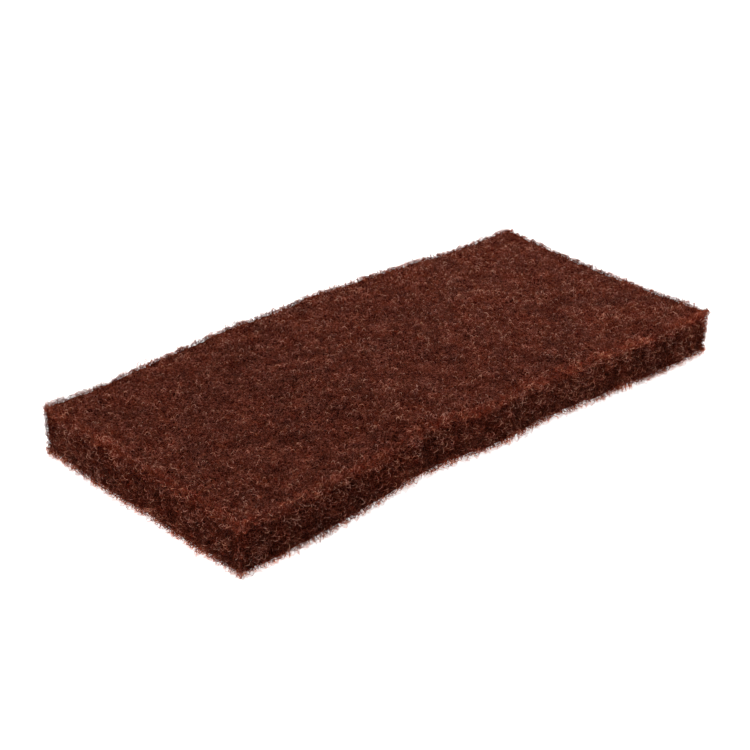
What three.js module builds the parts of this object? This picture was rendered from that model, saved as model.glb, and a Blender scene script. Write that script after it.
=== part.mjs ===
// Nylon scouring pad: a hand-sized slab cut from a thick, springy web of crimped nylon fibres.
// Sizes are in millimetres and +Z is up. The length runs along X and the width along Y.
// The origin is the middle of the pad in plan, on the flat surface that the pad rests on.
import * as THREE from 'three';

// the slab as it was cut
const padLength = 250;
const padWidth = 114.5;
const padThickness = 21;

// the soft rounding where the web was cut
const planRounding = 4.4;       // how far the upright corners and the sides round inwards in plan
const edgeRounding = 2.6;       // how far the top and bottom edges round down and up

// the low arch that the pad has taken: its middle is off the table and both ends lie flat
const archRise = 4;
const leftFootEnd = 109;        // from the middle to where the left end starts to lift
const rightFootEnd = 106;       // from the middle to where the right end starts to lift
const leftRampLength = 72;
const rightRampLength = 101;

// the buckle in the arch along the -Y side
const buckleRise = 1.7;
const bucklePlace = -36;        // where along X the buckle is highest
const buckleLength = 85;        // from one crest to the next
const buckleFade = 63;          // how far along X the buckle takes to die away

// the web is fuller at the left end, and its top sags in the middle of the right end
const leftSwell = 1.2;
const leftSwellReach = 70;
const rightSag = 1.9;
const rightSagReach = 70;
const rightSagPlace = 8;        // where along Y the sag is deepest
const rightSagBreadth = 45;

// the slow unevenness of the web, a sum of waves: each is shorter and lower than the one before
const waveCount = 5;
const longestWave = 47;
const waveShrink = 0.73;
const waveTurn = 2.4;           // each wave also runs in a direction turned by this many radians
const waveBend = 1.3;           // each wave is bent out of line by the one before it
const topUnevenness = 0.3;
const bottomUnevenness = 0.25;
const sideUnevenness = 0.28;
const sideOffset = 71;          // the sides take their waves from another place than the top

// how finely the surface is divided: rows lie closer together towards the cut edges
const lengthRows = 62;
const widthRows = 30;
const thicknessRows = 8;
const edgeCrowding = 0.55;

// the colour and surface of the web
const webColour = '#5f3128';
const webRoughness = 0.92;

// A smooth step from 0 to 1 with level ends.
function ramp(t) {
  return THREE.MathUtils.smoothstep(t, 0, 1);
}

// A hill that is 1 at its middle and dies away on both sides.
function hill(t) {
  return Math.exp(-t * t);
}

// Moves rows towards the edges: a blend of even spacing and quarter-sine spacing.
function crowd(t) {
  return THREE.MathUtils.lerp(t, Math.sin(t * Math.PI / 2), edgeCrowding);
}

// The sum of waves that makes the web uneven, with the first wave one unit high.
function unevenness(s, t) {
  let sum = 0;
  let wave = 0;
  for (let k = 0; k < waveCount; k += 1) {
    const height = waveShrink ** k;
    const heading = k * waveTurn;
    const along = s * Math.cos(heading) + t * Math.sin(heading);
    wave = Math.sin(2 * Math.PI * along / (longestWave * height) + k + waveBend * wave);
    sum += height * wave;
  }
  return sum;
}

// How far the arch carries the web up, as a share: 0 on both resting ends and 1 at the crest.
function archShare(x) {
  return ramp((x + leftFootEnd) / leftRampLength) * ramp((rightFootEnd - x) / rightRampLength);
}

// The lift of the web off the table, with the buckle that fades away from the -Y side.
function lift(x, across) {
  const waves = Math.cos(2 * Math.PI * (x - bucklePlace) / buckleLength);
  const buckle = buckleRise * hill((x - bucklePlace) / buckleFade) * waves;
  return archShare(x) * (archRise + buckle * (1 - across) / 2);
}

// The extra height of the top face: the swell of the left end less the sag of the right end.
function topGain(x, y) {
  const leftShare = ramp((leftSwellReach - padLength / 2 - x) / leftSwellReach);
  const rightShare = ramp((rightSagReach - padLength / 2 + x) / rightSagReach);
  return leftSwell * leftShare - rightSag * rightShare * hill((y - rightSagPlace) / rightSagBreadth);
}

// Takes a point of the plain box to the shaped pad: rounded, made uneven, then arched.
function shapePoint(point, half, rounding) {
  const inner = half.clone().sub(rounding);
  const core = point.clone().clamp(inner.clone().negate(), inner);
  const outward = point.clone().sub(core).divide(rounding).normalize();
  point.copy(core).add(outward.clone().multiply(rounding));

  const faceHeight = outward.z > 0 ? topUnevenness : bottomUnevenness * archShare(point.x);
  const faceBulge = faceHeight * unevenness(point.x, point.y) * outward.z;
  const sideBulge = sideUnevenness * unevenness(point.x + point.y + sideOffset, point.z);

  const upShare = (point.z + half.z) / padThickness;
  const rise = lift(point.x, point.y / half.y) + topGain(point.x, point.y) * upShare;
  point.z += half.z + rise + faceBulge;
  point.x += sideBulge * outward.x;
  point.y += sideBulge * outward.y;
}

function scouringPad() {
  const half = new THREE.Vector3(padLength, padWidth, padThickness).divideScalar(2);
  const rounding = new THREE.Vector3(planRounding, planRounding, edgeRounding);
  const web = new THREE.BoxGeometry(2, 2, 2, lengthRows, widthRows, thicknessRows);
  const places = web.getAttribute('position');
  const point = new THREE.Vector3();
  for (let i = 0; i < places.count; i += 1) {
    point.fromBufferAttribute(places, i);
    point.set(crowd(point.x), crowd(point.y), crowd(point.z)).multiply(half);
    shapePoint(point, half, rounding);
    places.setXYZ(i, point.x, point.y, point.z);
  }

  // the uneven sides leave the slab a little off centre, so it is set back over the origin
  web.computeBoundingBox();
  const middle = web.boundingBox.getCenter(new THREE.Vector3());
  web.translate(-middle.x, -middle.y, -web.boundingBox.min.z);
  web.computeVertexNormals();

  const material = new THREE.MeshStandardMaterial({
    color: webColour, roughness: webRoughness, metalness: 0,
  });
  const mesh = new THREE.Mesh(web, material);
  mesh.name = 'scouring_pad';
  return mesh;
}

const part = new THREE.Group();
part.name = 'nylon_scouring_pad';
part.add(scouringPad());

export default part;
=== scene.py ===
"""The looks of a nylon scouring pad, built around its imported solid.

The pad is one piece of non-woven web. It is made here as a dense inner web with a lumpy surface,
and over it the loose, crimped fibres that stand in front of it on every side.
Shapes are worked out in millimetres and put into the meshes in metres.
"""

import math

import bpy
import numpy as np
from mathutils import Euler, Matrix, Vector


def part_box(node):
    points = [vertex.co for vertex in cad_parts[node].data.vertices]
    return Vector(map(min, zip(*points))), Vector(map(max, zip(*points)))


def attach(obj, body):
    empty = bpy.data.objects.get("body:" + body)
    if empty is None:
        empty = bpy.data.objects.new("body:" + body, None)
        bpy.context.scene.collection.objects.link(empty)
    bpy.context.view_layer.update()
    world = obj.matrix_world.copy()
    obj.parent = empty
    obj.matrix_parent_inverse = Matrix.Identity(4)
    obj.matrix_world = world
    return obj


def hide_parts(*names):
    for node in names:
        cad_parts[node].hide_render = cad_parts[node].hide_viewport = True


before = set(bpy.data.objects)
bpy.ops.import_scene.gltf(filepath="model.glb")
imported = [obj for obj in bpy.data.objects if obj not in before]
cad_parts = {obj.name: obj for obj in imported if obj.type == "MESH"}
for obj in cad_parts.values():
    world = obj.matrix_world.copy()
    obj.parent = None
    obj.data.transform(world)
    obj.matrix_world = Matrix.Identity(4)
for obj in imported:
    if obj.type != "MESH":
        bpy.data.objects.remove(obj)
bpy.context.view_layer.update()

# The slab of web.
# Coarse nylon fibres are blown into a thick mat, sprayed with resin and grit, baked, and cut up.
# The slab's rounding, arch, buckle, swell and sag are its solid's, and every fibre follows them.
MM = 0.001
PAD = np.array([250.0, 114.5, 21.0])
HALF = PAD / 2
ROUNDING = np.array([4.4, 4.4, 2.6])
ARCH_RISE = 4.0
LEFT_FOOT_END, RIGHT_FOOT_END = 109.0, 106.0
LEFT_RAMP, RIGHT_RAMP = 72.0, 101.0
BUCKLE_RISE, BUCKLE_PLACE, BUCKLE_LENGTH, BUCKLE_FADE = 1.7, -36.0, 85.0, 63.0
LEFT_SWELL, LEFT_SWELL_REACH = 1.2, 70.0
RIGHT_SAG, RIGHT_SAG_REACH, RIGHT_SAG_PLACE, RIGHT_SAG_BREADTH = 1.9, 70.0, 8.0, 45.0
WAVE_COUNT, LONGEST_WAVE, WAVE_SHRINK, WAVE_TURN, WAVE_BEND = 5, 47.0, 0.73, 2.4, 1.3
TOP_UNEVENNESS, BOTTOM_UNEVENNESS, SIDE_UNEVENNESS, SIDE_OFFSET = 0.3, 0.25, 0.28, 71.0


def ramp(t):
    """A smooth step: t squared times (3 - 2t), with t kept between 0 and 1."""
    t = np.clip(t, 0, 1)
    return t * t * (3 - 2 * t)


def hill(t):
    """A bell: e to the power of minus t squared."""
    return np.exp(-t * t)


def unevenness(s, t):
    """A sum of sines, each shorter and lower, turned, and bent in phase by the one before it."""
    total, wave = 0.0, 0.0
    for k in range(WAVE_COUNT):
        height, heading = WAVE_SHRINK**k, k * WAVE_TURN
        along = s * math.cos(heading) + t * math.sin(heading)
        phase = 2 * math.pi * along / (LONGEST_WAVE * height) + k
        wave = np.sin(phase + WAVE_BEND * wave)
        total = total + height * wave
    return total


def arch_share(x):
    """The left ramp times the right ramp: 0 over both resting ends and 1 at the crest."""
    return ramp((x + LEFT_FOOT_END) / LEFT_RAMP) * ramp((RIGHT_FOOT_END - x) / RIGHT_RAMP)


def lift(x, across):
    """Arch share times the rise, plus a fading cosine buckle that grows towards the -Y side."""
    waves = np.cos(2 * math.pi * (x - BUCKLE_PLACE) / BUCKLE_LENGTH)
    buckle = BUCKLE_RISE * hill((x - BUCKLE_PLACE) / BUCKLE_FADE) * waves
    return arch_share(x) * (ARCH_RISE + buckle * (1 - across) / 2)


def top_gain(x, y):
    """The left end's swell, less the right end's sag, which is a bell across the width."""
    left = ramp((LEFT_SWELL_REACH - HALF[0] - x) / LEFT_SWELL_REACH)
    right = ramp((RIGHT_SAG_REACH - HALF[0] + x) / RIGHT_SAG_REACH)
    sag = hill((y - RIGHT_SAG_PLACE) / RIGHT_SAG_BREADTH)
    return LEFT_SWELL * left - RIGHT_SAG * right * sag


def on_slab(flat, stand, rounding=ROUNDING):
    """Takes points near a plain box to the pad, and stands them off its surface.

    A point is drawn to the box less its rounding, and from there one rounding outwards.
    The stand-off is added along the outward direction, then the waves, swell, sag and arch.
    Returns the places and the outward directions.
    """
    inner = HALF - rounding
    core = np.clip(flat, -inner, inner)
    outward = (flat - core) / rounding
    outward /= np.linalg.norm(outward, axis=-1, keepdims=True)
    normal = outward / rounding
    normal /= np.linalg.norm(normal, axis=-1, keepdims=True)
    at = core + outward * rounding
    x, y, z = at[..., 0], at[..., 1], at[..., 2]
    face = np.where(outward[..., 2] > 0, TOP_UNEVENNESS, BOTTOM_UNEVENNESS * arch_share(x))
    face = face * unevenness(x, y) * outward[..., 2]
    side = SIDE_UNEVENNESS * unevenness(x + y + SIDE_OFFSET, z)
    up = (z + HALF[2]) / PAD[2]
    rise = HALF[2] + lift(x, y / HALF[1]) + top_gain(x, y) * up + face
    placed = at + normal * stand[..., None]
    placed[..., :2] += side[..., None] * outward[..., :2]
    placed[..., 2] += rise
    return placed, normal


def box_grid(rows):
    """The surface of a box from -1 to 1 as a lattice: whole-number steps along each edge, with the
    points that faces share merged. Returns points and outward quads."""
    keys, quads, start = [], [], 0
    for axis in range(3):
        i, j = (axis + 1) % 3, (axis + 2) % 3
        a, b = np.meshgrid(np.arange(rows[i] + 1), np.arange(rows[j] + 1), indexing="ij")
        index = np.arange(a.size).reshape(a.shape)
        ring = [index[:-1, :-1], index[1:, :-1], index[1:, 1:], index[:-1, 1:]]
        for side in (0, rows[axis]):
            key = np.zeros((a.size, 3), int)
            key[:, axis], key[:, i], key[:, j] = side, a.ravel(), b.ravel()
            order = ring if side else ring[::-1]
            quads.append(np.stack([q.ravel() for q in order], -1) + start)
            keys.append(key)
            start += a.size
    lattice, back = np.unique(np.concatenate(keys), axis=0, return_inverse=True)
    return 2 * lattice / np.array(rows) - 1, back.ravel()[np.concatenate(quads)]


ASKEW = np.array(Euler((0.5, 0.3, 0.7)).to_matrix())
LATTICE = 64


def clumps(points, size, seed):
    """Smooth random lumps: random numbers on a cubic lattice of the given size, blended between
    lattice points with the smooth step along each axis. The lattice stands askew to the pad, so
    that no lump lines up with its edges. The result runs from -1 to 1."""
    table = np.random.default_rng(seed).uniform(-1, 1, (LATTICE, LATTICE, LATTICE))
    scaled = points @ ASKEW / size + LATTICE / 2
    low = np.floor(scaled).astype(int)
    part = ramp(scaled - low)
    total = 0.0
    for corner in np.ndindex(2, 2, 2):
        weight = np.prod(np.where(corner, part, 1 - part), axis=-1)
        i, j, k = np.moveaxis((low + corner) % LATTICE, -1, 0)
        total = total + weight * table[i, j, k]
    return total


THIN_REACH, THIN_UPPER = 5.0, 0.12


def backlit_thinness(flat):
    """How thin the web is, from the distance to the nearest long or end edge of the plain box: the
    smooth step of one less that distance over the reach, whole below and a share of it above.
    It sets a painted glow, colour standing in for light coming through the thin web from behind."""
    inward = (HALF - np.abs(flat))[..., :2].min(-1)
    below = ramp(1 - np.maximum(inward, HALF[2] + flat[..., 2]) / THIN_REACH)
    upper = ramp(1 - np.maximum(inward, HALF[2] - flat[..., 2]) / THIN_REACH)
    return np.maximum(below, THIN_UPPER * upper)


def new_mesh(name, points, quads, caps=None):
    """Puts whole arrays of points (mm) and quads, with triangles for caps, into a smooth mesh."""
    mesh = bpy.data.meshes.new(name)
    caps = np.zeros((0, 3), int) if caps is None else caps
    corners = np.concatenate([quads.ravel(), caps.ravel()])
    sizes = np.concatenate([np.full(len(quads), 4), np.full(len(caps), 3)])
    mesh.vertices.add(len(points))
    mesh.vertices.foreach_set("co", (points * MM).astype(np.float32).ravel())
    mesh.loops.add(len(corners))
    mesh.loops.foreach_set("vertex_index", corners.astype(np.int32))
    mesh.polygons.add(len(sizes))
    starts = np.concatenate([[0], np.cumsum(sizes)[:-1]])
    mesh.polygons.foreach_set("loop_start", starts.astype(np.int32))
    mesh.polygons.foreach_set("use_smooth", np.ones(len(sizes), bool))
    mesh.update(calc_edges=True)
    piece = bpy.data.objects.new(name, mesh)
    bpy.context.scene.collection.objects.link(piece)
    return piece


# the solid was set back over the origin after its sides were made uneven, and so is every piece
cad_low, cad_high = (np.array(corner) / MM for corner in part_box("scouring_pad"))
SOLID_ROWS, EDGE_CROWDING = (62, 30, 8), 0.55
outline, _ = box_grid(SOLID_ROWS)
outline = outline + EDGE_CROWDING * (np.sin(outline * math.pi / 2) - outline)
outline, _ = on_slab(outline * HALF, np.zeros(len(outline)))
SETTING = (cad_low + cad_high - outline.min(0) - outline.max(0)) / 2

# The inner web.
# Behind the loose outer fibres the mat is packed so closely that the eye sees a dark, lumpy mass.
# The mass is real; its darkness is painted shade of the depths of the mat.
# It is one closed surface with soft tufts, about a millimetre and a half inside the slab's face.
INNER_ROWS, INNER_CROWDING = (172, 80, 16), 0.3
INNER_DEPTH = 1.6
INNER_ROUNDING = np.array([4.2, 4.2, 2.6])
TUFT_SIZES = (9.0, 4.2, 2.1)
TUFT_HEIGHTS = (0.30, 0.45, 0.40)
TUFT_SEED = 11
RIM_SPAN, RIM_CALM = 0.25, 0.4
TABLE_GAP = 0.15

grid, inner_quads = box_grid(INNER_ROWS)
grid = grid + INNER_CROWDING * (np.sin(grid * math.pi / 2) - grid)
flat = grid * HALF
tufts = sum(height * clumps(flat, size, TUFT_SEED + i)
            for i, (size, height) in enumerate(zip(TUFT_SIZES, TUFT_HEIGHTS)))
_, inner_outward = on_slab(flat, tufts, INNER_ROUNDING)
rim_share = ramp((1 - np.abs(inner_outward).max(1)) / RIM_SPAN)
inner_points, _ = on_slab(flat, tufts * (1 - RIM_CALM * rim_share) - INNER_DEPTH, INNER_ROUNDING)
inner_points += SETTING
inner_points[:, 2] = np.maximum(inner_points[:, 2], TABLE_GAP)
inner_web = new_mesh("inner_web", inner_points, inner_quads)


def mark_points(piece, name, values):
    """Stores one number for each point of a mesh, which its material reads by name."""
    layer = piece.data.attributes.new(name, "FLOAT", "POINT")
    layer.data.foreach_set("value", values.ravel().astype(np.float32))


# the sides were cut through, and show the open inside of the mat; by this mark the material
# darkens their gaps, painted shade
mark_points(inner_web, "cut", 1 - np.abs(inner_outward[:, 2]))
mark_points(inner_web, "thin", backlit_thinness(flat))


def add_node(tree, kind, **settings):
    """One shader node with its settings and with numbers or colours on its own sockets."""
    node = tree.nodes.new(kind)
    for key, value in settings.items():
        if key.startswith("in_"):
            node.inputs[key[3:].replace("_", " ")].default_value = value
        else:
            setattr(node, key, value)
    return node


def read_mark(tree, name):
    """The number that mark_points stored under this name."""
    return add_node(tree, "ShaderNodeAttribute", attribute_name=name).outputs["Fac"]


def spots(tree, coords, size, detail):
    """Smooth noise from 0 to 1 whose spots are about the given size, in millimetres."""
    noise = add_node(tree, "ShaderNodeTexNoise", in_Scale=1 / (size * MM), in_Detail=detail)
    tree.links.new(coords, noise.inputs["Vector"])
    return noise


STRAND_WIDTH = 0.03
STRAND_SQUASH = 1.7


def strands(tree, coords, size, seed):
    """Thin curling lines: the places where a smooth noise passes through its middle value.
    The distance from the middle value is turned into a line of the strand width. The noise is
    squashed upwards, because the strands lie in layers along the mat."""
    shift = add_node(tree, "ShaderNodeMapping")
    shift.inputs["Location"].default_value = (seed * 0.37, seed * 0.73, seed * 0.19)
    shift.inputs["Scale"].default_value = (1.0, 1.0, STRAND_SQUASH)
    tree.links.new(coords, shift.inputs["Vector"])
    noise = spots(tree, shift.outputs[0], size, 1.0)
    noise.inputs["Roughness"].default_value = 0.45
    noise.inputs["Distortion"].default_value = 0.6
    centre = add_node(tree, "ShaderNodeMath", operation="SUBTRACT")
    centre.inputs[1].default_value = 0.5
    tree.links.new(noise.outputs["Fac"], centre.inputs[0])
    away = add_node(tree, "ShaderNodeMath", operation="ABSOLUTE")
    tree.links.new(centre.outputs[0], away.inputs[0])
    line = add_node(tree, "ShaderNodeMapRange", interpolation_type="SMOOTHSTEP")
    line.inputs["From Min"].default_value = 0.0
    line.inputs["From Max"].default_value = STRAND_WIDTH
    line.inputs["To Min"].default_value = 1.0
    line.inputs["To Max"].default_value = 0.0
    tree.links.new(away.outputs[0], line.inputs["Value"])
    return line.outputs[0]


def both(tree, operation, a, b):
    """Two values joined by one sum, product, power or larger-of. Either may be a plain number."""
    node = add_node(tree, "ShaderNodeMath", operation=operation)
    for socket, value in zip(node.inputs, (a, b)):
        if isinstance(value, float):
            socket.default_value = value
        else:
            tree.links.new(value, socket)
    return node.outputs[0]


def swing(tree, noise, gain):
    """A noise less its middle value, times a gain."""
    return both(tree, "MULTIPLY", both(tree, "ADD", noise.outputs["Fac"], -0.5), gain)


def graded(tree, value, stops):
    """The colour that a value meets along a row of places and colours."""
    node = add_node(tree, "ShaderNodeValToRGB")
    row = node.color_ramp.elements
    for end, (place, colour) in ((row[0], stops[0]), (row[1], stops[-1])):
        end.position, end.color = place, (*colour, 1)
    for place, colour in stops[1:-1]:
        row.new(place).color = (*colour, 1)
    tree.links.new(value, node.inputs["Fac"])
    return node.outputs["Color"]


PATCH_SIZE = 13.0
PATCH_TINTS = ((0.34, (0.68, 0.73, 0.77)), (0.66, (1.0, 0.97, 0.95)))
PAINTED_GLOW_TINT = (1.5, 1.2, 0.95)


def web_colour(tree, coords, thin, tone, stops):
    """The colour that a tone meets along its stops, times two tints. One wanders slowly between
    the browner and redder patches of the mat, and one is warm and counts where the web is thin;
    the warm one is a painted glow, for light coming through the thin web."""
    noise = spots(tree, coords, PATCH_SIZE, 3.0)
    noise.inputs["Roughness"].default_value = 0.55
    tinted = add_node(tree, "ShaderNodeMix", data_type="RGBA", blend_type="MULTIPLY")
    tinted.inputs[0].default_value = 1.0
    tree.links.new(graded(tree, tone, stops), tinted.inputs[6])
    tree.links.new(graded(tree, noise.outputs["Fac"], PATCH_TINTS), tinted.inputs[7])
    glow_tinted = add_node(tree, "ShaderNodeMix", data_type="RGBA", blend_type="MULTIPLY")
    glow_tinted.inputs[7].default_value = (*PAINTED_GLOW_TINT, 1)
    tree.links.new(thin, glow_tinted.inputs[0])
    tree.links.new(tinted.outputs[2], glow_tinted.inputs[6])
    return glow_tinted.outputs[2]


# the strands are light lines on a near-black ground, which is painted shade in the gaps of the
# mat, and the gaps are darker again where the mat was cut, more painted shade
STRAND_LAYERS = ((2, 1.3, 0.85), (3, 2.1, 0.7), (4, 1.1, 0.9), (5, 1.5, 0.6))
GROUND_LIGHT, GRAIN_GAIN, CUT_SIDE_PAINTED_SHADE, THIN_WEB_PAINTED_GLOW = 0.35, 1.3, 0.7, 0.15
PACKED_STOPS = ((0.0, (0.007, 0.0008, 0.0004)), (0.45, (0.142, 0.028, 0.014)),
                (1.0, (0.33, 0.115, 0.082)))
inner_look = bpy.data.materials.new("packed_web_painted_shade")
inner_look.use_nodes = True
tree = inner_look.node_tree
shader = tree.nodes["Principled BSDF"]
where = add_node(tree, "ShaderNodeTexCoord").outputs["Object"]
lines = strands(tree, where, 1.7, 1)
for seed, size, light in STRAND_LAYERS:
    layer = both(tree, "MULTIPLY", strands(tree, where, size, seed), light)
    lines = both(tree, "MAXIMUM", lines, layer)
patches = spots(tree, where, 7.0, 3.0)
grains = spots(tree, where, 0.7, 2.0)
tone = both(tree, "MULTIPLY", lines, both(tree, "ADD", patches.outputs["Fac"], GROUND_LIGHT))
tone = both(tree, "MAXIMUM", both(tree, "ADD", tone, swing(tree, grains, GRAIN_GAIN)), 0.0)
# painted shade: where the surface faces sideways the tone is raised to a higher power, darkening
# the gaps
cut_side_shade = both(tree, "MULTIPLY", read_mark(tree, "cut"), CUT_SIDE_PAINTED_SHADE)
tone = both(tree, "POWER", tone, both(tree, "ADD", cut_side_shade, 1.0))
thin = read_mark(tree, "thin")
# painted glow: the web is lighter where it is thin, for light coming through it from behind
tone = both(tree, "ADD", tone, both(tree, "MULTIPLY", thin, THIN_WEB_PAINTED_GLOW))
tree.links.new(web_colour(tree, where, thin, tone, PACKED_STOPS), shader.inputs["Base Color"])
rough = add_node(tree, "ShaderNodeMapRange")
rough.inputs["To Min"].default_value = 0.95
rough.inputs["To Max"].default_value = 0.7
tree.links.new(tone, rough.inputs["Value"])
tree.links.new(rough.outputs[0], shader.inputs["Roughness"])
shader.inputs["Specular IOR Level"].default_value = 0.0
relief = add_node(tree, "ShaderNodeBump", in_Strength=1.0, in_Distance=0.5 * MM)
tree.links.new(lines, relief.inputs["Height"])
tree.links.new(relief.outputs["Normal"], shader.inputs["Normal"])
inner_web.data.materials.append(inner_look)

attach(inner_web, "root")
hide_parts("scouring_pad")

# The loose fibres of the outer web.
# Each is a crimped strand of nylon coated with resin, which springs out of the mat and back in.
# They are three-sided tubes, shared among the faces of the pad so that no mesh grows too heavy.
FIBRE_SEGMENTS = 4
FIBRE_LENGTH = (2.4, 4.1)
FIBRE_RADIUS = (0.065, 0.10)
CRIMP_TURN = 0.9
CRIMP_LENGTH = (2.2, 3.8)
WANDER_TURN = 0.6
WANDER_LENGTH = (6.0, 14.0)
ROOT_DEPTH = 1.9
BOW_POWER = 2.4
RIPPLE_HEIGHT, RIPPLE_LENGTH = 0.22, 3.1
LAY_CALM = 0.45
TIP_TAPER = 0.55
FLOOR_GAP = 0.01
THIN_FIBRE_PAINTED_GLOW = 0.25


def crimped_paths(seeds, first, second, crest, rng, root=ROOT_DEPTH, lay=0.0, rounding=ROUNDING):
    """The middle lines of many fibres, as one array of fibres by rings by three.

    A fibre's heading is drawn towards the first axis by the lay: less lay times half the sine of
    twice the heading. Along the fibre it swings by two sines, a short crimp and a long wander, and
    the steps along that heading are summed. Its stand-off is a flattened hill from the root depth
    up to the crest, with a ripple. Both are taken to the slab by on_slab.
    Returns the places with the outward directions, the stand-offs and the thinness there.
    """
    count, rings = len(seeds), FIBRE_SEGMENTS + 1
    length = rng.uniform(*FIBRE_LENGTH, (count, 1))
    along = np.linspace(-0.5, 0.5, rings)[None, :] * length
    heading = rng.uniform(0, 2 * math.pi, (count, 1))
    heading = heading - lay * np.sin(2 * heading) / 2
    for turn, (low, high) in ((CRIMP_TURN, CRIMP_LENGTH), (WANDER_TURN, WANDER_LENGTH)):
        wave = rng.uniform(low, high, (count, 1))
        phase = rng.uniform(0, 2 * math.pi, (count, 1))
        turn = turn * (1 - LAY_CALM * lay)
        heading = heading + turn * np.sin(2 * math.pi * along / wave + phase)
    step = length / FIBRE_SEGMENTS
    s, t = np.cumsum(step * np.cos(heading), 1), np.cumsum(step * np.sin(heading), 1)
    s, t = s - s.mean(1, keepdims=True), t - t.mean(1, keepdims=True)
    flat = seeds[:, None] + s[..., None] * first[:, None] + t[..., None] * second[:, None]
    bow = 1 - np.abs(2 * along / length) ** BOW_POWER
    phase = 2 * math.pi * along / RIPPLE_LENGTH + rng.uniform(0, 6, (count, 1))
    ripple = RIPPLE_HEIGHT * np.sin(phase)
    stand = -root + (crest[:, None] + root) * bow + ripple * bow
    return on_slab(flat, stand, rounding), stand, backlit_thinness(flat)


def fibre_mesh(name, paths, outward, stand, thin, light, spread, shade, rng):
    """Three-sided closed tubes along the paths, each with a UV cell of its own.

    The tone along a fibre is the light, plus a random part of the spread, less the shade times its
    depth, plus a gain where the web is thin. The shade is painted shade of the deep web, and the
    gain a painted glow of light coming through the thin web.
    """
    count, rings = paths.shape[:2]
    radius = rng.uniform(*FIBRE_RADIUS, (count, 1))
    taper = 1 - (1 - TIP_TAPER) * np.abs(np.linspace(-1, 1, rings))[None, :] ** 3
    radius = radius * taper
    paths = paths + SETTING
    paths[..., 2] = np.maximum(paths[..., 2], radius + FLOOR_GAP)
    ahead = np.gradient(paths, axis=1)
    ahead /= np.linalg.norm(ahead, axis=-1, keepdims=True)
    across = np.cross(ahead, outward)
    across /= np.linalg.norm(across, axis=-1, keepdims=True) + 1e-9
    over = np.cross(across, ahead)
    turn = 2 * math.pi * (np.arange(3) / 3)
    rim = np.cos(turn)[:, None] * over[:, :, None] + np.sin(turn)[:, None] * across[:, :, None]
    points = paths[:, :, None] + radius[..., None, None] * rim
    base = (np.arange(count) * rings * 3)[:, None, None]
    ring = (np.arange(rings - 1) * 3)[None, :, None]
    side = np.arange(3)[None, None, :]
    after = (side + 1) % 3
    quads = np.stack([base + ring + side, base + ring + after,
                      base + ring + 3 + after, base + ring + 3 + side], -1).reshape(-1, 4)
    start = base[:, 0] + np.array([[2, 1, 0]])
    finish = base[:, 0] + (rings - 1) * 3 + np.array([[0, 1, 2]])
    caps = np.concatenate([start, finish])
    piece = new_mesh(name, points.reshape(-1, 3), quads, caps)

    own = rng.uniform(-1, 1, (count, 1)) * spread
    # painted shade: a fibre is darker the deeper it lies in the web; painted glow: lighter where
    # the web is thin
    depth_for_painted_shade = np.clip(-stand / ROOT_DEPTH, 0, 1)
    tone = np.clip(light + own - shade * depth_for_painted_shade + THIN_FIBRE_PAINTED_GLOW * thin, 0, 1)
    mark_points(piece, "tone", np.repeat(tone.ravel(), 3))
    mark_points(piece, "thin", np.repeat(thin.ravel(), 3))

    # every fibre has a cell of its own on the map: rings run up the cell and sides across it
    edge, inside = 0.1, 0.8
    cells = math.ceil(math.sqrt(count))
    corner_fibre = np.concatenate([np.repeat(np.arange(count), (rings - 1) * 12),
                                   np.tile(np.repeat(np.arange(count), 3), 2)])
    u_side = np.concatenate([np.tile([0, 1, 1, 0], count * (rings - 1) * 3)
                             + np.tile(np.repeat([0, 1, 2], 4), count * (rings - 1)),
                             np.tile([0, 1.5, 3], 2 * count)])
    v_ring = np.concatenate([np.tile([0, 0, 1, 1], count * (rings - 1) * 3)
                             + np.tile(np.repeat(np.arange(rings - 1), 12), count),
                             np.tile([0.0, 0.35, 0.0], count),
                             np.tile([rings - 1.0, rings - 1.35, rings - 1.0], count)])
    u = (corner_fibre % cells + edge + inside * u_side / 3) / cells
    v = (corner_fibre // cells + edge + inside * v_ring / (rings - 1)) / cells
    chart = piece.data.uv_layers.new(name="OFBake")
    chart.data.foreach_set("uv", np.stack([u, v], -1).astype(np.float32).ravel())
    return piece


# resin and grit make each strand uneven in colour, and light that comes from behind glows in it
MOTTLE_GAIN, GRIT_GAIN = 0.5, 1.8
FIBRE_STOPS = ((0.0, (0.025, 0.0028, 0.0010)), (0.5, (0.154, 0.0335, 0.0190)),
               (0.82, (0.33, 0.122, 0.090)), (1.0, (0.62, 0.285, 0.200)))
fibre_look = bpy.data.materials.new("crimped_brown_nylon")
fibre_look.use_nodes = True
tree = fibre_look.node_tree
shader = tree.nodes["Principled BSDF"]
where = add_node(tree, "ShaderNodeTexCoord").outputs["Object"]
mottle = spots(tree, where, 6.0, 4.0)
grit = spots(tree, where, 0.6, 2.0)
tone = both(tree, "ADD", read_mark(tree, "tone"), swing(tree, mottle, MOTTLE_GAIN))
tone = both(tree, "ADD", tone, swing(tree, grit, GRIT_GAIN))
colour = web_colour(tree, where, read_mark(tree, "thin"), tone, FIBRE_STOPS)
tree.links.new(colour, shader.inputs["Base Color"])
rough = add_node(tree, "ShaderNodeMapRange")
rough.inputs["To Min"].default_value = 0.45
rough.inputs["To Max"].default_value = 0.8
tree.links.new(grit.outputs["Fac"], rough.inputs["Value"])
tree.links.new(rough.outputs[0], shader.inputs["Roughness"])
shader.inputs["Specular IOR Level"].default_value = 0.02
shader.inputs["Subsurface Weight"].default_value = 1.0
shader.inputs["Subsurface Radius"].default_value = (1.0, 0.5, 0.35)
shader.inputs["Subsurface Scale"].default_value = 0.15 * MM
relief = add_node(tree, "ShaderNodeBump", in_Strength=0.6, in_Distance=0.05 * MM)
tree.links.new(grit.outputs["Fac"], relief.inputs["Height"])
tree.links.new(relief.outputs["Normal"], shader.inputs["Normal"])


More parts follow.
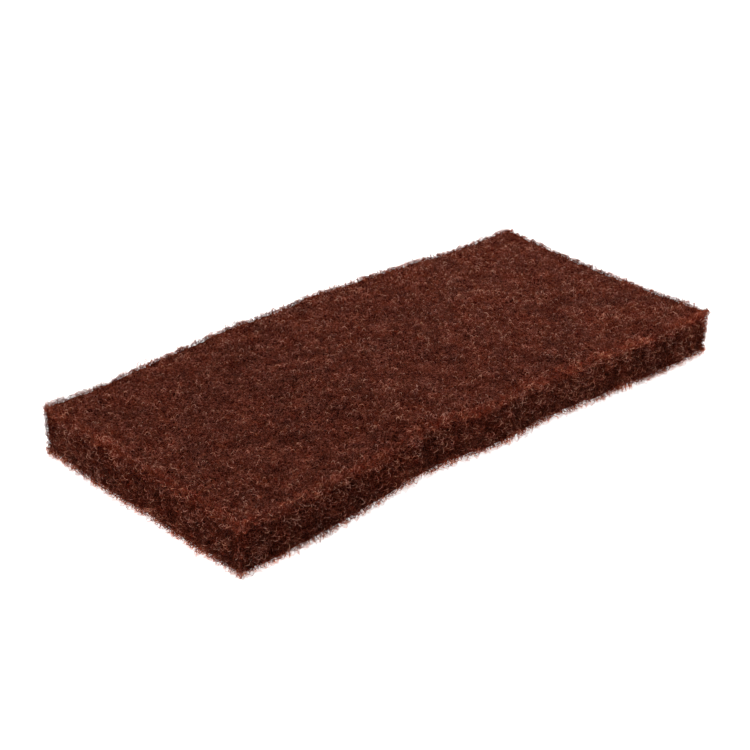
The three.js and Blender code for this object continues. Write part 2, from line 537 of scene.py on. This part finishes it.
def place_in_web(piece, look):
    """Gives a mesh of fibres its material and its place on the one body."""
    piece.data.materials.append(look)
    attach(piece, "root")


CREST_LEVEL = (-0.9, 0.15)
STRAY_SHARE, STRAY_RISE = 0.10, (0.1, 0.7)
KEPT_SHARE, THINNING, SPARE_TRIES = 0.62, 0.55, 1.9
PIT_SIZES, PIT_SHARES, PIT_SEEDS = (4.0, 8.5), (0.6, 0.4), (31, 32)
PIT_DEPTH = 0.35
FACE_INSET = 0.8


def fibre_piece(name, faces, count, seed, light=0.56, spread=0.44, shade=0.68, lay=0.0):
    """Fibres over one or more faces of the pad. Each face is its outward axis and the two axes
    along it. Seeds are spread evenly by area, then thinned where the web has its small pits.
    A few strays stand out past the rest."""
    rng = np.random.default_rng(seed)
    areas = np.array([abs(PAD @ first) * abs(PAD @ second) for _, first, second in faces])
    tries = int(count * SPARE_TRIES)
    pick = rng.choice(len(faces), tries, p=areas / areas.sum())
    out, first, second = (np.array([face[k] for face in faces])[pick] for k in range(3))
    spot = rng.uniform(-1, 1, (tries, 2))
    reach = np.where(np.abs(out) > 0.5, HALF, HALF - FACE_INSET)
    seeds = reach * (out + spot[:, :1] * first + spot[:, 1:] * second)
    level = sum(share * clumps(seeds, size, pit_seed)
                for share, size, pit_seed in zip(PIT_SHARES, PIT_SIZES, PIT_SEEDS))
    kept = np.flatnonzero(rng.uniform(0, 1, tries) < KEPT_SHARE + THINNING * level)[:count]
    seeds, first, second, level = seeds[kept], first[kept], second[kept], level[kept]
    crest = rng.uniform(*CREST_LEVEL, len(kept)) + PIT_DEPTH * level
    stray = rng.uniform(0, 1, len(kept)) < STRAY_SHARE
    crest = np.where(stray, rng.uniform(*STRAY_RISE, len(kept)), crest)
    (paths, outward), stand, thin = crimped_paths(seeds, first, second, crest, rng, lay=lay)
    piece = fibre_mesh(name, paths, outward, stand, thin, light, spread, shade, rng)
    place_in_web(piece, fibre_look)


# along the cut edges the strands stand farther out, and more light comes through them
RIM_BREADTH = 3.4
RIM_ROUNDING = np.array([3.4, 3.4, 1.0])
RIM_CREST, RIM_UPRIGHT_DROP, RIM_ROOT, RIM_LAY = (-1.5, 1.2), 0.9, 3.4, 0.6
RIM_LIGHT_ABOVE, RIM_PAINTED_GLOW_BELOW, RIM_SPREAD, RIM_SHADE = 0.34, 0.52, 0.45, 0.4
rim_look = fibre_look.copy()
rim_look.name = "backlit_brown_nylon"
shader = rim_look.node_tree.nodes["Principled BSDF"]
shader.inputs["Subsurface Radius"].default_value = (1.0, 0.42, 0.28)
shader.inputs["Subsurface Scale"].default_value = 0.24 * MM


def rim_piece(name, count, seed):
    """Fibres along all twelve cut edges, where the mat is thinnest and light passes between them.
    Seeds lie in a narrow band on both faces of an edge of the plain box, spread evenly by length.
    Those on the upright edges stand out less."""
    rng = np.random.default_rng(seed)
    along = rng.choice(3, count, p=PAD / PAD.sum())
    other = (along + rng.integers(1, 3, count)) % 3
    rows = np.arange(count)
    seeds = np.sign(rng.uniform(-1, 1, (count, 3))) * HALF
    seeds[rows, along] = rng.uniform(-1, 1, count) * HALF[along]
    seeds[rows, other] -= np.sign(seeds[rows, other]) * rng.uniform(0, RIM_BREADTH, count)
    first, second = np.eye(3)[along], np.eye(3)[other]
    crest = rng.uniform(*RIM_CREST, count) - RIM_UPRIGHT_DROP * (along == 2)
    (paths, outward), stand, thin = crimped_paths(
        seeds, first, second, crest, rng, RIM_ROOT, RIM_LAY, RIM_ROUNDING)
    # painted glow: the rim fibres along the bottom edges are lighter, for light from the white
    # floor coming through them
    light = np.where(seeds[:, 2:] > 0, RIM_LIGHT_ABOVE, RIM_PAINTED_GLOW_BELOW)
    piece = fibre_mesh(name, paths, outward, stand, thin, light, RIM_SPREAD, RIM_SHADE, rng)
    place_in_web(piece, rim_look)


# on the cut sides the fibres lie along the layers of the mat, and their painted depth shade is
# stronger
X, Y, Z = np.eye(3)
fibre_piece("top_fibres", [(Z, X, Y)], 7500, 51)
fibre_piece("top_nap", [(Z, X, Y)], 6200, 52)
fibre_piece("long_side_fibres", [(Y, X, Z), (-Y, X, Z)], 7500, 53, 0.70, 0.44, 1.0, lay=0.9)
fibre_piece("end_fibres", [(X, Y, Z), (-X, Y, Z)], 4200, 54, 0.65, 0.42, 1.0, lay=0.9)
fibre_piece("underside_fibres", [(-Z, X, Y)], 2600, 55)
rim_piece("rim_fibres", 7400, 56)

# The floor.
# A plain, matt white sheet that glows a little, so that it reads as pure white without a shadow,
# as the ground of a cut-out product photograph does.
FLOOR_HALF = 3.0
floor_mesh = bpy.data.meshes.new("floor")
floor_corners = [(-1, -1, 0), (1, -1, 0), (1, 1, 0), (-1, 1, 0)]
floor_mesh.from_pydata([[FLOOR_HALF * c for c in corner] for corner in floor_corners], [],
                       [(0, 1, 2, 3)])
floor = bpy.data.objects.new("floor", floor_mesh)
bpy.context.scene.collection.objects.link(floor)
floor_look = bpy.data.materials.new("matt_white")
floor_look.use_nodes = True
shader = floor_look.node_tree.nodes["Principled BSDF"]
shader.inputs["Base Color"].default_value = (0.9, 0.9, 0.9, 1)
shader.inputs["Roughness"].default_value = 0.95
shader.inputs["Specular IOR Level"].default_value = 0.1
shader.inputs["Emission Color"].default_value = (1, 1, 1, 1)
shader.inputs["Emission Strength"].default_value = 1.0
floor_mesh.materials.append(floor_look)

# The light.
# An even surround and two soft panels. The strong one stands high behind the pad on the right, and
# the weak one stands low on the left and opens up the shade on the near end.
world = bpy.data.worlds.new("studio")
bpy.context.scene.world = world
world.use_nodes = True
world.node_tree.nodes["Background"].inputs["Color"].default_value = (1, 1, 1, 1)
world.node_tree.nodes["Background"].inputs["Strength"].default_value = 0.33
for name, place, size, power in (("top_panel", (0.62, 0.36, 0.72), 0.35, 16.6),
                                 ("left_panel", (-1.0, -0.1, 0.35), 0.5, 4.3)):
    panel = bpy.data.lights.new(name, "AREA")
    panel.shape, panel.size, panel.energy = "SQUARE", size, power
    lamp = bpy.data.objects.new(name, panel)
    lamp.location = place
    direction = -lamp.location
    lamp.rotation_euler = direction.to_track_quat("-Z", "Y").to_euler()
    bpy.context.scene.collection.objects.link(lamp)

# The camera.
# It stands where the photographer's did, about 80 cm from the pad and 28 degrees above the table.
FOCAL_PIXELS, FRAME_PIXELS, SENSOR_MM = 1981.6, 750, 36.0
AZIMUTH, ELEVATION, ROLL = (math.radians(a) for a in (-43.524, 27.919, 0.727))
AIM, AWAY = np.array([10.23, 21.12, 0.0]), 794.75
back = np.array([math.sin(AZIMUTH) * math.cos(ELEVATION),
                 -math.cos(AZIMUTH) * math.cos(ELEVATION), math.sin(ELEVATION)])
level = np.array([math.cos(AZIMUTH), math.sin(AZIMUTH), 0.0])
upright = np.cross(back, level)
right = math.cos(ROLL) * level + math.sin(ROLL) * upright
above = np.cross(back, right)
camera_data = bpy.data.cameras.new("camera")
camera_data.lens = SENSOR_MM * FOCAL_PIXELS / FRAME_PIXELS
camera_data.sensor_width = SENSOR_MM
camera = bpy.data.objects.new("camera", camera_data)
place = (AIM + AWAY * back) * MM
stance = np.column_stack([right, above, back, place])
camera.matrix_world = Matrix([*stance.tolist(), [0, 0, 0, 1]])
bpy.context.scene.collection.objects.link(camera)
bpy.context.scene.camera = camera
bpy.context.scene.view_settings.view_transform = "Standard"
